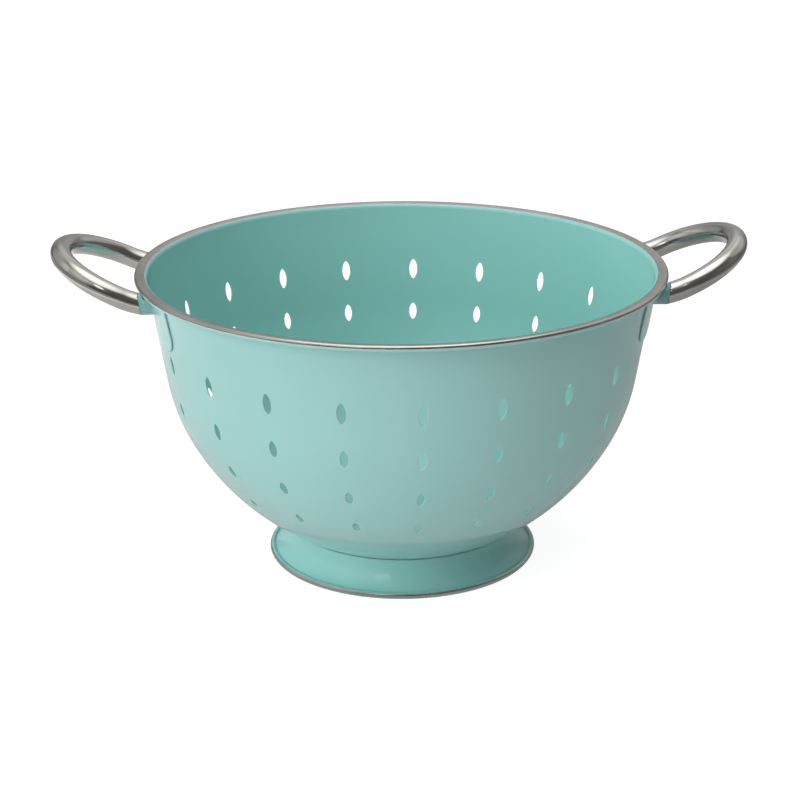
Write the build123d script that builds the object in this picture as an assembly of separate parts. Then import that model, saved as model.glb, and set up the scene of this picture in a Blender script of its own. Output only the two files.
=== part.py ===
from build123d import *

import math
import os

# Colander with a perforated sheet-metal bowl, a flared foot ring and two rod handles.
# Millimetres, +Z up. The origin is the middle of the foot's underside, on the table,
# and the handles lie along X. Angles are in degrees.

# Bowl sheet, from the rolled rim down
RIM_RADIUS = 130.0
RIM_TOP = 148.8
SHEET = 0.8
CURL_WIDTH = 6.0
CURL_HEIGHT = 3.0
CURL_CORNER = 1.2
CURL_SLIT = 0.3
WALL_LEAN = 9.2
CONE_DROP = 53.0
SHOULDER_RADIUS = 95.0
SHOULDER_ANGLE = 20.3
KNUCKLE_RADIUS = 45.0

# Foot ring
SEAT_RADIUS = 57.0
SEAT_HEIGHT = 16.3
FOOT_RADIUS = 67.7
FOOT_BEAD = 3.0
FOOT_FLAT = 1.6
FOOT_START_LEAN = 8.0
FLANGE_WIDTH = 6.0
SEAT_GAP = 0.1

# Slots: rows are evenly spaced along the sheet, columns lie in a front and a back group
FIRST_ROW = 36.2
ROW_PITCH = 23.4
SLOT_LENGTHS = (10.6, 9.0, 8.0, 7.4)
SLOT_WIDTHS = (4.3, 4.0, 3.6, 3.4)
COLUMNS_PER_GROUP = 9
COLUMN_ANGLES = (17.5, 18.0)
GROUP_ANGLES = (-88.7, 83.6)
DRAIN_COUNT = 6
DRAIN_RING = 24.0
DRAIN_LENGTH = 8.0
DRAIN_WIDTH = 3.4

# Handles
ROD = 10.1
HANDLE_SPREAD = 72.4
HANDLE_REACH = 33.7
HANDLE_TILT = 24.7
LEG_LENGTH = 9.2
LEG_ANGLE = 12.0
ROD_CLEARANCE = 0.3
ROD_DROP = 3.6

# Handle brackets
TONGUE_ANGLE = 20.2
TONGUE_WIDTH = 24.6
NECK_WIDTH = 19.0
TONGUE_TIP = 24.5
TONGUE_CORNER = 8.5
TONGUE_SHEET = 0.9
FLARE_WIDTH = 18.4
FLARE_HEIGHT = 5.7
FLARE_GAP = 0.5

CURL_BOTTOM = RIM_TOP - CURL_HEIGHT
ROD_RADIUS = ROD / 2
CUT_DEPTH = 4 * SHEET
LEG_RISE = LEG_LENGTH * math.tan(math.radians(LEG_ANGLE / 2))


def outward(lean):
    """Outward normal, as (radius, height), of a wall that leans out by this angle."""
    return (math.cos(math.radians(lean)), -math.sin(math.radians(lean)))


def along(point, direction, distance):
    return (point[0] + direction[0] * distance, point[1] + direction[1] * distance)


def turned_arc(centre, radius, start, end):
    """Arc of the bowl's section, between two leans of the wall."""
    angles = (start, (start + end) / 2, end)
    return ThreePointArc(*(along(centre, outward(a), radius) for a in angles))


class Wall:
    """Section of the bowl's sheet at a distance outside its outer face."""

    def __init__(self, offset=0.0):
        # The outer face of the cone meets the rolled edge at the curl's inner side.
        cone_top = (RIM_RADIUS - CURL_WIDTH + SHEET, RIM_TOP)
        down = (-math.sin(math.radians(WALL_LEAN)), -math.cos(math.radians(WALL_LEAN)))
        self.cone_length = CONE_DROP / math.cos(math.radians(WALL_LEAN))
        cone_end = along(cone_top, down, self.cone_length)
        self.shoulder_centre = along(cone_end, outward(WALL_LEAN), -SHOULDER_RADIUS)
        self.waist_lean = WALL_LEAN + SHOULDER_ANGLE
        waist = along(self.shoulder_centre, outward(self.waist_lean), SHOULDER_RADIUS)
        # The lower arc leaves the shoulder without a kink and runs through the foot's seat.
        normal = outward(self.waist_lean)
        chord = (SEAT_RADIUS - waist[0], SEAT_HEIGHT - waist[1])
        into = -(chord[0] * normal[0] + chord[1] * normal[1])
        self.lower_radius = (chord[0] ** 2 + chord[1] ** 2) / (2 * into)
        self.lower_centre = along(waist, normal, -self.lower_radius)
        rise = self.lower_centre[1] - SEAT_HEIGHT
        self.seat_lean = math.degrees(math.asin(rise / self.lower_radius))
        # A knuckle brings the sheet level at the floor.
        seat = (SEAT_RADIUS, SEAT_HEIGHT)
        self.knuckle_centre = along(seat, outward(self.seat_lean), -KNUCKLE_RADIUS)
        self.floor_radius = self.knuckle_centre[0]
        self.floor_height = self.knuckle_centre[1] - KNUCKLE_RADIUS - offset
        self.offset = offset
        self.cone_top = along(cone_top, outward(WALL_LEAN), offset)
        self.cone_end = along(cone_end, outward(WALL_LEAN), offset)

    def radius_at(self, height):
        """Radius of the cone's face at a height above the shoulder."""
        drop = self.cone_top[1] - height
        return self.cone_top[0] - drop * math.tan(math.radians(WALL_LEAN))

    def section(self, top_height):
        """Edges from a height on the cone down to the middle of the floor."""
        top = (self.radius_at(top_height), top_height)
        shoulder = SHOULDER_RADIUS + self.offset
        lower = self.lower_radius + self.offset
        knuckle = KNUCKLE_RADIUS + self.offset
        floor_edge = (self.floor_radius, self.floor_height)
        return [
            Line(top, self.cone_end),
            turned_arc(self.shoulder_centre, shoulder, WALL_LEAN, self.waist_lean),
            turned_arc(self.lower_centre, lower, self.waist_lean, self.seat_lean),
            turned_arc(self.knuckle_centre, knuckle, self.seat_lean, 90.0),
            Line(floor_edge, (0, self.floor_height)),
        ]

    def seat_flange(self, width):
        """Arc under the bowl from the foot's seat inwards."""
        knuckle = KNUCKLE_RADIUS + self.offset
        end_lean = self.seat_lean + math.degrees(width / KNUCKLE_RADIUS)
        return turned_arc(self.knuckle_centre, knuckle, self.seat_lean, end_lean)

    def place(self, distance):
        """Point and lean at a distance down the sheet from the rim."""
        if distance <= self.cone_length:
            down = (-math.sin(math.radians(WALL_LEAN)), -math.cos(math.radians(WALL_LEAN)))
            return along(self.cone_top, down, distance), WALL_LEAN
        lean = WALL_LEAN + math.degrees((distance - self.cone_length) / SHOULDER_RADIUS)
        if lean <= self.waist_lean:
            return along(self.shoulder_centre, outward(lean), SHOULDER_RADIUS), lean
        past = math.radians(lean - self.waist_lean) * SHOULDER_RADIUS
        lean = self.waist_lean + math.degrees(past / self.lower_radius)
        return along(self.lower_centre, outward(lean), self.lower_radius), lean


OUTER = Wall()
INNER = Wall(-SHEET)
SEATED = Wall(SEAT_GAP)


def spun(edges):
    """Solid of revolution about Z from a closed outline in radius and height."""
    outline = Wire(edges)
    face = Plane.XZ * make_face(outline)
    return revolve(face, Axis.Z)


def corner_arc(centre, radius, start):
    """Quarter arc, clockwise from a start angle."""
    angles = (start, start - 45, start - 90)
    points = []
    for angle in angles:
        turn = math.radians(angle)
        points.append(along(centre, (math.cos(turn), math.sin(turn)), radius))
    return ThreePointArc(*points)


def curl_face():
    """Rolled edge's visible face, from the wall's inner face round and under."""
    corner = CURL_CORNER
    left = INNER.radius_at(RIM_TOP - corner)
    first = corner_arc((left + corner, RIM_TOP - corner), corner, 180)
    second = corner_arc((RIM_RADIUS - corner, RIM_TOP - corner), corner, 90)
    third = corner_arc((RIM_RADIUS - corner, CURL_BOTTOM + corner), corner, 0)
    return [
        first,
        Line(first @ 1, second @ 0),
        second,
        Line(second @ 1, third @ 0),
        third,
        Line(third @ 1, (OUTER.radius_at(CURL_BOTTOM) + CURL_SLIT, CURL_BOTTOM)),
    ]


def curl_back():
    """Rolled edge's hidden face, with its tight corners left square."""
    top = RIM_TOP - SHEET
    side = RIM_RADIUS - SHEET
    low = CURL_BOTTOM + SHEET
    start = (OUTER.radius_at(top), top)
    end = (OUTER.radius_at(CURL_BOTTOM) + CURL_SLIT, low)
    return [Line(start, (side, top)), Line((side, top), (side, low)), Line((side, low), end)]


def slot_cutter(point, lean, turn, length, width):
    """Pointed slot through the sheet, long axis up the wall, at one place on the bowl."""
    radius, height = point
    across = math.radians(turn)
    normal = outward(lean)
    place = Plane(
        origin=(radius * math.cos(across), radius * math.sin(across), height),
        x_dir=(-math.sin(across), math.cos(across), 0),
        z_dir=(normal[0] * math.cos(across), normal[0] * math.sin(across), normal[1]),
    )
    tips = ((0, -length / 2), (0, length / 2))
    right = ThreePointArc(tips[0], (width / 2, 0), tips[1])
    left = ThreePointArc(tips[1], (-width / 2, 0), tips[0])
    return extrude(place * make_face([right, left]), CUT_DEPTH, both=True)


def slots():
    """All the slots of the wall, then the ring of drain slots in the floor."""
    cutters = []
    half = (COLUMNS_PER_GROUP - 1) / 2
    for row, (length, width) in enumerate(zip(SLOT_LENGTHS, SLOT_WIDTHS)):
        point, lean = OUTER.place(FIRST_ROW + row * ROW_PITCH)
        for middle, step in zip(GROUP_ANGLES, COLUMN_ANGLES):
            for column in range(COLUMNS_PER_GROUP):
                turn = middle + (column - half) * step
                cutters.append(slot_cutter(point, lean, turn, length, width))
    for drain in range(DRAIN_COUNT):
        turn = drain * 360 / DRAIN_COUNT
        point = (DRAIN_RING, OUTER.floor_height)
        cutters.append(slot_cutter(point, 90, turn, DRAIN_LENGTH, DRAIN_WIDTH))
    return cutters


def bowl():
    """Pressed bowl with its edge rolled outwards, perforated in rows."""
    face = curl_face()
    back = curl_back()
    outer = OUTER.section((back[0] @ 0).Y)
    inner = INNER.section((face[0] @ 0).Y)
    outline = [*inner, Line(inner[-1] @ 1, outer[-1] @ 1), *outer]
    outline += [*back, Line(back[-1] @ 1, face[-1] @ 1), *face]
    return spun(outline) - slots()


def bowl_space():
    """Half section of the space that the bowl fills, with the seat gap round it."""
    top = RIM_TOP + SEAT_GAP
    low = CURL_BOTTOM - SEAT_GAP
    side = RIM_RADIUS + SEAT_GAP
    wall = SEATED.section(low)
    outline = [*wall, Line(wall[-1] @ 1, (0, top)), Line((0, top), (side, top))]
    outline += [Line((side, top), (side, low)), Line((side, low), wall[0] @ 0)]
    return make_face(outline)


def foot_ring():
    """Flared skirt with a flange under the bowl and a rolled bead on the table."""
    bead = FOOT_BEAD / 2
    bead_middle = (FOOT_RADIUS - bead, bead)
    under = Wall(SEAT_GAP + SHEET)
    top_face = SEATED.seat_flange(FLANGE_WIDTH)
    low_face = under.seat_flange(FLANGE_WIDTH)
    start = top_face @ 0
    lean = math.radians(FOOT_START_LEAN)
    flare = TangentArc(start, bead_middle, tangent=(math.sin(lean), -math.cos(lean)))
    inside = offset_line(flare)
    flange = [top_face, Line(top_face @ 1, low_face @ 1), low_face, Line(low_face @ 0, start)]
    skirt = [flare, Line(flare @ 1, inside @ 1), inside, Line(inside @ 0, start)]
    roll = Pos(bead_middle[0], bead_middle[1]) * Circle(bead)
    flat = Pos(bead_middle[0], bead / 2) * Rectangle(FOOT_FLAT, bead)
    section = make_face(flange) + make_face(skirt) + roll + flat
    return revolve(Plane.XZ * (section - bowl_space()), Axis.Z)


def offset_line(arc):
    """The same arc, one sheet nearer the middle of the foot."""
    centre = arc.arc_center
    points = []
    for share in (0, 0.5, 1):
        spoke = (arc @ share) - centre
        points.append(centre + spoke * (1 + SHEET / arc.radius))
    return ThreePointArc(*points)


def handle_frame():
    """Plane of one handle's loop: x runs outwards and up, with the leg ends above x = 0."""
    tilt = math.radians(HANDLE_TILT)
    # The legs end clear of the rolled edge, measured where the rod passes beside it.
    beside = HANDLE_SPREAD / 2 - ROD_RADIUS / 2
    reach = math.sqrt((RIM_RADIUS + ROD_CLEARANCE) ** 2 - beside ** 2)
    end_x = reach - ROD_DROP * math.tan(math.radians(WALL_LEAN))
    end_z = CURL_BOTTOM - ROD_DROP
    return Plane(
        origin=(end_x + LEG_RISE * math.sin(tilt), 0, end_z - LEG_RISE * math.cos(tilt)),
        x_dir=(math.cos(tilt), 0, math.sin(tilt)),
        z_dir=(-math.sin(tilt), 0, math.cos(tilt)),
    )


def leg_end():
    """Plane of the back leg's mitred end, which is parallel to the bowl's wall."""
    frame = handle_frame()
    normal = outward(WALL_LEAN)
    return Plane(
        origin=frame.from_local_coords((0, HANDLE_SPREAD / 2, LEG_RISE)),
        x_dir=(0, 1, 0),
        z_dir=(normal[0], 0, normal[1]),
    )


def leg(side):
    """Middle line of a leg, from past its end to the loop, bent towards the level."""
    turn = math.radians(LEG_ANGLE)
    start = Vector(LEG_LENGTH, side, 0)
    end = Vector(0, side, LEG_RISE)
    bend = TangentArc(start, end, tangent=(-1, 0, 0))
    # The leg runs on past its mitre, which trims it.
    spare = Line(end, end + Vector(-math.cos(turn), 0, math.sin(turn)) * ROD)
    return [spare, bend]


def handle_rod():
    """Loop of round rod with two bent legs, on the +X side."""
    half = HANDLE_SPREAD / 2
    loop = EllipticalCenterArc((LEG_LENGTH, 0), HANDLE_REACH, half, -90, arc_size=180)
    path = handle_frame() * Wire([*leg(-half), loop, *leg(half)])
    profile = Plane(origin=path @ 0, z_dir=path % 0) * Circle(ROD_RADIUS)
    return split(sweep(profile, path=path), bisect_by=leg_end(), keep=Keep.TOP)


def tongue():
    """Strap bent to the wall's curve, with rounded lower corners, at the +X +Y place."""
    middle = math.radians(TONGUE_ANGLE)
    top = CURL_BOTTOM - SEAT_GAP
    outer = Wall(SEAT_GAP + TONGUE_SHEET)
    face = SEATED.section(top)
    back = outer.section(top)
    shell = spun([*face, Line(face[-1] @ 1, back[-1] @ 1), *back, Line(back[0] @ 0, face[0] @ 0)])
    place = Plane(
        origin=(0, 0, top),
        x_dir=(-math.sin(middle), math.cos(middle), 0),
        z_dir=(math.cos(middle), math.sin(middle), 0),
    )
    neck = NECK_WIDTH / 2
    half = TONGUE_WIDTH / 2
    corners = ((-neck, 0), (-half, -TONGUE_TIP), (half, -TONGUE_TIP), (neck, 0))
    outline = make_face(Polyline(*corners, close=True))
    low = outline.vertices().sort_by(Axis.Y)[:2]
    outline = fillet(low, TONGUE_CORNER)
    return shell & extrude(place * outline, RIM_RADIUS)


def flare():
    """Web that spreads from the rod's end to the strap's top, at the +X +Y place."""
    middle = math.radians(TONGUE_ANGLE)
    mitre = math.radians(HANDLE_TILT - LEG_ANGLE + WALL_LEAN)
    start = leg_end() * Ellipse(ROD_RADIUS, ROD_RADIUS / math.cos(mitre))
    height = CURL_BOTTOM - FLARE_GAP - FLARE_HEIGHT / 2
    # The wide end lies in a flat plane behind the bowl's face, which trims it.
    depth = math.sqrt(SEATED.radius_at(height) ** 2 - (FLARE_WIDTH / 2) ** 2) - SHEET
    end = Plane(
        origin=(depth * math.cos(middle), depth * math.sin(middle), height),
        x_dir=(-math.sin(middle), math.cos(middle), 0),
        z_dir=(math.cos(middle), math.sin(middle), 0),
    ) * Ellipse(FLARE_WIDTH / 2, FLARE_HEIGHT / 2)
    return loft([start, end], ruled=True)


def bracket():
    """Strap and flare as one pressed and welded piece, at the +X +Y place."""
    return tongue() + (flare() - revolve(Plane.XZ * bowl_space(), Axis.Z))


def save(shape, name):
    solids = shape.solids()
    export_step(solids[0] if len(solids) == 1 else Compound(solids), f"parts/{name}.step")


os.makedirs("parts", exist_ok=True)

save(bowl(), "bowl")
save(foot_ring(), "foot_ring")

right_rod = handle_rod()
save(right_rod, "handle_rod_right")
save(right_rod.rotate(Axis.Z, 180), "handle_rod_left")

back_right = bracket()
front_right = mirror(back_right, about=Plane.XZ)
save(back_right, "bracket_right_back")
save(front_right, "bracket_right_front")
save(front_right.rotate(Axis.Z, 180), "bracket_left_back")
save(back_right.rotate(Axis.Z, 180), "bracket_left_front")
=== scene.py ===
import math

import bmesh
import bpy
from mathutils import Matrix, Vector


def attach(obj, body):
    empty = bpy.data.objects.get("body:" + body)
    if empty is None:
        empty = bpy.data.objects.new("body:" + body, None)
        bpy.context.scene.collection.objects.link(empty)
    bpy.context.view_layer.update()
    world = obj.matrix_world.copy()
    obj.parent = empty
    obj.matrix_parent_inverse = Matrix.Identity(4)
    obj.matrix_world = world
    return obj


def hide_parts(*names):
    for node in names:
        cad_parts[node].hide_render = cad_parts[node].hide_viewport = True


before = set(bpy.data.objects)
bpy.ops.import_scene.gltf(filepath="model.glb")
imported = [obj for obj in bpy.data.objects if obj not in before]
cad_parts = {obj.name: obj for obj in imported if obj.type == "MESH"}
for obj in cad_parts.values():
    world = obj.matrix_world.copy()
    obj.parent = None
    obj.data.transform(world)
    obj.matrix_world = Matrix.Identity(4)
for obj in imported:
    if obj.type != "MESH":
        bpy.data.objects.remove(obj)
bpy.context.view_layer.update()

# Sizes in millimetres and degrees, as the solids have them, apart from the rim's softer
# bend and crown and the slots' fuller outline
MM = 0.001
RIM_RADIUS = 130.0
RIM_TOP = 148.8
SHEET = 0.8
CURL_WIDTH = 6.0
CURL_HEIGHT = 3.0
CURL_CORNER = 1.3
CURL_BEND = 2.4
CURL_CROWN = 0.3
CURL_SLIT = 0.3
WALL_LEAN = 9.2
CONE_DROP = 53.0
SHOULDER_RADIUS = 95.0
SHOULDER_ANGLE = 20.3
KNUCKLE_RADIUS = 45.0
SEAT_RADIUS = 57.0
SEAT_HEIGHT = 16.3
FOOT_RADIUS = 67.7
FOOT_BEAD = 3.0
FOOT_FLAT = 1.6
FOOT_START_LEAN = 8.0
FLANGE_WIDTH = 6.0
SEAT_GAP = 0.1
FIRST_ROW = 36.2
ROW_PITCH = 23.4
SLOT_LENGTHS = (10.6, 9.0, 8.0, 7.4)
SLOT_WIDTHS = (4.35, 4.0, 3.6, 3.4)
SLOT_FULLNESS = 0.64
COLUMNS_PER_GROUP = 9
COLUMN_ANGLES = (17.5, 18.0)
GROUP_ANGLES = (-88.7, 83.6)
DRAIN_COUNT = 6
DRAIN_RING = 24.0
DRAIN_LENGTH = 8.0
DRAIN_WIDTH = 3.4
DRAIN_CELL = 16.0
ROD = 10.1
HANDLE_SPREAD = 72.4
HANDLE_REACH = 33.7
HANDLE_TILT = 24.7
LEG_LENGTH = 9.2
LEG_ANGLE = 12.0
ROD_CLEARANCE = 0.3
ROD_DROP = 3.6
CURL_BOTTOM = RIM_TOP - CURL_HEIGHT

# Bare metal: where the coating stops on the rolled rim and on the foot's bead
BARE_RIM_INSIDE = 125.2
BARE_RIM_LOW = 147.5
BARE_BEAD_LOW = 0.55
BARE_BEAD_HIGH = 2.7

# Painted light and shade: faces that look towards this height on the axis are the bowl's inside,
# which takes a deeper tone as painted shade, and a bracket's flare takes a dark tone as painted
# shade from this far outside the wall, in full tone this much farther
INSIDE_MIDDLE = 110.0
FLARE_FROM = 1.5
FLARE_FADE = 2.5

# How finely the sheet is divided; a slot's rings are spreads in millimetres, and the rings
# round it are shares of the way to the cell's border
ACROSS_CELL = 8
DOWN_CELL = 8
ACROSS_DRAIN = 16
SLOT_RINGS = (0.0, 0.3, 0.8)
BLEND_RINGS = (0.22, 0.5, 0.76, 1.0)
BAND_STEP = 3.0
DRAIN_BRIDGE = 1.2
ARC_STEP = 0.25
FOOT_TURNS = 240
BEAD_STEPS = 48
SKIRT_STEPS = 24
FLANGE_STEPS = 8
ROD_POINTS = 48
WELD = 2e-6
RING_NEAR = 1e-5
NO_AREA = 1e-14

# Soft edges: of the sheet's cut edges, and of the brackets
EDGE_WIDTH = 0.16
EDGE_ANGLE = 55
BRACKET_GRID = 0.28
BRACKET_SMOOTHING = 6

# Finishes: the middle span of a noise, how far the effects show, and how many turns of the
# noise a metre has along the streaks (slow) and across them (quick)
NOISE_SPAN = (0.3, 0.7)
GRAIN_SHARE = 0.25
BARE_CELLS = 0.72
PALE_EDGE_SHARE = 0.2
SPECK_SHARE = 0.3
ROUND_SLOW, ROUND_QUICK = 5.0, 4000.0
ROD_SLOW, ROD_QUICK = 30.0, 2200.0


# Section of the bowl's sheet, as (radius, height) in millimetres

def outward(lean):
    """Outward normal of a wall that leans out by this angle."""
    return Vector((math.cos(math.radians(lean)), -math.sin(math.radians(lean))))


def downward(lean):
    """Direction down the wall."""
    return Vector((-math.sin(math.radians(lean)), -math.cos(math.radians(lean))))


class Section:
    """Arcs of the bowl's outer face, from which the inner face is one sheet away."""

    def __init__(self):
        self.cone_top = Vector((RIM_RADIUS - CURL_WIDTH + SHEET, RIM_TOP))
        self.cone_run = CONE_DROP / math.cos(math.radians(WALL_LEAN))
        cone_end = self.cone_top + downward(WALL_LEAN) * self.cone_run
        self.shoulder = cone_end - outward(WALL_LEAN) * SHOULDER_RADIUS
        self.waist_lean = WALL_LEAN + SHOULDER_ANGLE
        normal = outward(self.waist_lean)
        waist = self.shoulder + normal * SHOULDER_RADIUS
        chord = Vector((SEAT_RADIUS, SEAT_HEIGHT)) - waist
        self.lower_radius = -chord.length_squared / (2 * chord.dot(normal))
        self.lower = waist - normal * self.lower_radius
        self.seat_lean = math.degrees(math.asin((self.lower.y - SEAT_HEIGHT) / self.lower_radius))
        self.knuckle = Vector((SEAT_RADIUS, SEAT_HEIGHT)) - outward(self.seat_lean) * KNUCKLE_RADIUS

    def arcs(self):
        """Each arc as (centre, radius, first lean, last lean), down the wall."""
        return (
            (self.shoulder, SHOULDER_RADIUS, WALL_LEAN, self.waist_lean),
            (self.lower, self.lower_radius, self.waist_lean, self.seat_lean),
            (self.knuckle, KNUCKLE_RADIUS, self.seat_lean, 90.0),
        )

    def lean_at(self, distance):
        """Lean of the wall at a distance down the outer face from the rim's top."""
        rest = distance - self.cone_run
        if rest <= 0:
            return WALL_LEAN
        for _, radius, first, last in self.arcs():
            run = math.radians(last - first) * radius
            if rest <= run:
                return first + math.degrees(rest / radius)
            rest -= run
        return 90.0


SECTION = Section()


def cone_radius(height, offset):
    """Radius of the cone's face at a height, this far outside the outer face."""
    top = SECTION.cone_top + outward(WALL_LEAN) * offset
    return top.x - (top.y - height) * math.tan(math.radians(WALL_LEAN))


def quarter(centre, radius, first, steps=8):
    """Points of a quarter circle, turning against the clock from its first angle."""
    points = []
    for k in range(steps + 1):
        turn = math.radians(first + 90 * k / steps)
        points.append(Vector((centre[0] + radius * math.cos(turn),
                              centre[1] + radius * math.sin(turn))))
    return points


def curl_line():
    """Visible face of the rolled edge, from its hidden end over the top to the wall's inside."""
    corner = CURL_CORNER
    line = [Vector((cone_radius(CURL_BOTTOM, 0) + CURL_SLIT, CURL_BOTTOM))]
    line += quarter((RIM_RADIUS - corner, CURL_BOTTOM + corner), corner, -90)
    line += quarter((RIM_RADIUS - corner, RIM_TOP - corner), corner, 0)
    # The top is a low crown: it falls towards the wall, and then bends down into it.
    top = line[-1]
    bend_top = RIM_TOP - CURL_CROWN
    left = cone_radius(bend_top - CURL_BEND, -SHEET)
    bend = quarter((left + CURL_BEND, bend_top - CURL_BEND), CURL_BEND, 90)
    for k in range(1, 6):
        share = k / 6
        fall = CURL_CROWN * share * share
        line.append(Vector((top.x + (bend[0].x - top.x) * share, RIM_TOP - fall)))
    return line + bend


def sheet_line():
    """Visible face of the sheet: the rolled edge, then down the wall to the floor's middle."""
    line = list(CURL_LINE)
    line.append(SECTION.shoulder + outward(WALL_LEAN) * (SHOULDER_RADIUS - SHEET))
    for centre, radius, first, last in SECTION.arcs():
        steps = max(8, round((last - first) / ARC_STEP))
        for k in range(1, steps + 1):
            lean = first + (last - first) * k / steps
            line.append(centre + outward(lean) * (radius - SHEET))
    line.append(Vector((0.0, line[-1].y)))
    return line


CURL_LINE = curl_line()
SHEET_LINE = sheet_line()


def runs(line):
    """Distance of each point of a line from its start."""
    out = [0.0]
    for a, b in zip(line, line[1:]):
        out.append(out[-1] + (b - a).length)
    return out


SHEET_RUNS = runs(SHEET_LINE)


def radius_at_run(run):
    """Radius of the visible face at a distance along its line."""
    for k in range(1, len(SHEET_RUNS)):
        if run <= SHEET_RUNS[k]:
            share = (run - SHEET_RUNS[k - 1]) / (SHEET_RUNS[k] - SHEET_RUNS[k - 1])
            return SHEET_LINE[k - 1].lerp(SHEET_LINE[k], share).x
    return 0.0


def run_at_radius(radius):
    """Distance along the visible face's line at a radius on the floor."""
    return SHEET_RUNS[-1] - radius


def run_of_row(distance):
    """Distance along the visible face's line of a place measured down the outer face."""
    straight = SHEET_RUNS[len(CURL_LINE)] - SECTION.cone_run
    lean = SECTION.lean_at(distance)
    if lean <= WALL_LEAN:
        return straight + distance
    run = straight + SECTION.cone_run
    for _, radius, first, last in SECTION.arcs():
        run += math.radians(min(lean, last) - first) * (radius - SHEET)
        if lean <= last:
            break
    return run


# Flat patterns of the sheet: x is the angle round the bowl, y the distance along its line

def flat_object(name, points, faces):
    mesh = bpy.data.meshes.new(name)
    mesh.from_pydata(points, [], faces)
    mesh.update()
    piece = bpy.data.objects.new(name, mesh)
    bpy.context.scene.collection.objects.link(piece)
    return piece


def grid_part(angles, distances, points, faces):
    """Adds a plain grid to a flat pattern."""
    start = len(points)
    for distance in distances:
        points += [(math.radians(angle), distance * MM, 0.0) for angle in angles]
    wide = len(angles)
    for row in range(len(distances) - 1):
        for column in range(wide - 1):
            a = start + row * wide + column
            faces.append((a, a + 1, a + wide + 1, a + wide))


def spaced(low, high, count):
    return [low + (high - low) * k / count for k in range(count + 1)]


def group_edges():
    """First and last angle of each group of columns."""
    halves = [COLUMNS_PER_GROUP * angle / 2 for angle in COLUMN_ANGLES]
    return [(middle - half, middle + half) for middle, half in zip(GROUP_ANGLES, halves)]


def plain_sectors():
    """Angles of the mesh lines in the two plain sectors behind the handles."""
    (first_low, first_high), (second_low, second_high) = group_edges()
    out = []
    for low, high in ((first_high, second_low), (second_high, first_low + 360)):
        out.append(spaced(low, high, max(2, round((high - low) * ACROSS_CELL / COLUMN_ANGLES[0]))))
    return out


def ring_angles():
    """Angles of all the mesh lines, once round."""
    sectors = plain_sectors()
    angles = []
    for (low, high), sector in zip(group_edges(), sectors):
        angles += spaced(low, high, COLUMNS_PER_GROUP * ACROSS_CELL)[:-1]
        angles += sector[:-1]
    angles.append(angles[0] + 360)
    return angles


def cell_border(half_angle, half_height, across, down):
    """Border of a flat cell, against the clock from the middle of its right side."""
    border = []
    for k in range(down // 2):
        border.append((half_angle, half_height * 2 * k / down))
    for k in range(across):
        border.append((half_angle * (1 - 2 * k / across), half_height))
    for k in range(down):
        border.append((-half_angle, half_height * (1 - 2 * k / down)))
    for k in range(across):
        border.append((half_angle * (-1 + 2 * k / across), -half_height))
    for k in range(down // 2):
        border.append((half_angle, half_height * (-1 + 2 * k / down)))
    return border


def slot_outline(length, width, count, spread):
    """Slot in millimetres, grown by a spread, with one point for each of the cell's border."""
    edge = []
    for k in range(count):
        turn = 2 * math.pi * k / count
        up = math.sin(turn)
        side = math.copysign(max(0.0, 1 - up * up) ** SLOT_FULLNESS, math.cos(turn))
        edge.append(Vector((side * width / 2, up * length / 2)))
    points = []
    for k, point in enumerate(edge):
        run = edge[(k + 1) % count] - edge[k - 1]
        points.append(point + Vector((run.y, -run.x)).normalized() * spread)
    return points


def slot_cell(name, run, cell_angle, cell_height, length, width, across, down):
    """Flat cell of the sheet with one slot, ready to be repeated round the bowl."""
    border = cell_border(cell_angle / 2, cell_height / 2, across, down)
    count = len(border)
    points = []
    edge = []
    for spread in SLOT_RINGS:
        for x, y in slot_outline(length, width, count, spread):
            radius = radius_at_run(run + y)
            points.append((x / radius, (run + y) * MM, 0.0))
            edge.append(1 - spread / SLOT_RINGS[-1])
    inner = points[-count:]
    for share in BLEND_RINGS:
        for (x, y, _), (bx, by) in zip(inner, border):
            goal = (math.radians(bx), (run + by) * MM)
            points.append((x + (goal[0] - x) * share, y + (goal[1] - y) * share, 0.0))
            edge.append(0.0)
    faces = []
    for ring in range(len(SLOT_RINGS) + len(BLEND_RINGS) - 1):
        for k in range(count):
            a = ring * count + k
            b = ring * count + (k + 1) % count
            faces.append((a, a + count, b + count, b))
    cell = flat_object(name, points, faces)
    near = cell.data.attributes.new("slot_edge", "FLOAT", "POINT")
    near.data.foreach_set("value", edge)
    return cell


# Nodes

def feed(tree, value, socket):
    """Links an output to an input, or gives the input a plain value."""
    if isinstance(value, bpy.types.NodeSocket):
        tree.links.new(value, socket)
    else:
        socket.default_value = value


def add(tree, kind, **settings):
    """New node; a setting is a property of the node, or what its input of that name takes."""
    made = tree.nodes.new(kind)
    for name, value in settings.items():
        if hasattr(made, name):
            setattr(made, name, value)
        else:
            feed(tree, value, made.inputs[name.replace("_", " ")])
    return made


def ordered(tree, kind, *values, **settings):
    """New node whose inputs take these values in their own order."""
    made = add(tree, kind, **settings)
    for value, socket in zip(values, made.inputs):
        feed(tree, value, socket)
    return made


def product(tree, first, second):
    return ordered(tree, "ShaderNodeMath", first, second, operation="MULTIPLY").outputs[0]


def fade(tree, given, low, high, low_value=0.0, high_value=1.0, kind="SMOOTHSTEP"):
    """Change from one value to another as a given value passes between two levels."""
    return add(tree, "ShaderNodeMapRange", interpolation_type=kind, Value=given, From_Min=low,
               From_Max=high, To_Min=low_value, To_Max=high_value).outputs["Result"]


def mixed(tree, share, first, second, kind="RGBA"):
    """Two tones, or two plain values, mixed by a share of the second."""
    return add(tree, "ShaderNodeMix", data_type=kind, Factor=share, A=first,
               B=second).outputs["Result"]


# Geometry node trees

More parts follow.
